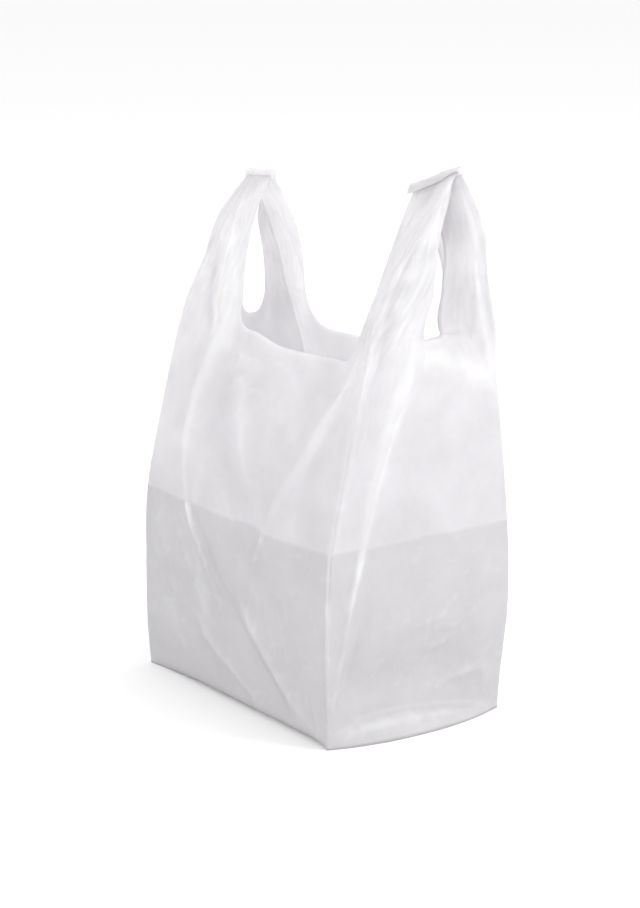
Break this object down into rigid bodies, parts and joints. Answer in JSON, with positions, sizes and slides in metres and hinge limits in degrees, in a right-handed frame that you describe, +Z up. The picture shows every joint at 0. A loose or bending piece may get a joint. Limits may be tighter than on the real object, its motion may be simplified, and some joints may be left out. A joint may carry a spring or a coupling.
{
  "type": "carrier bag",
  "caption": "Thin film carrier bag with side gussets, an open mouth between loop handles sealed at their tops, and a flat sealed bottom, standing open and upright.",
  "frame": {"origin": "on the floor under the middle of the squared body, on the bottom seal", "axes": "+Z up, +X along the width of the panels towards the higher handle, the front panel faces -Y and the side gussets face +X and -X"},
  "size_m": [0.2906, 0.1903, 0.4536],
  "materials": {
    "film": "thin translucent white polyethylene film, soft sheen, creased"
  },
  "bodies": {
    "root": {"film_bag": "film"}
  },
  "joints": []
}
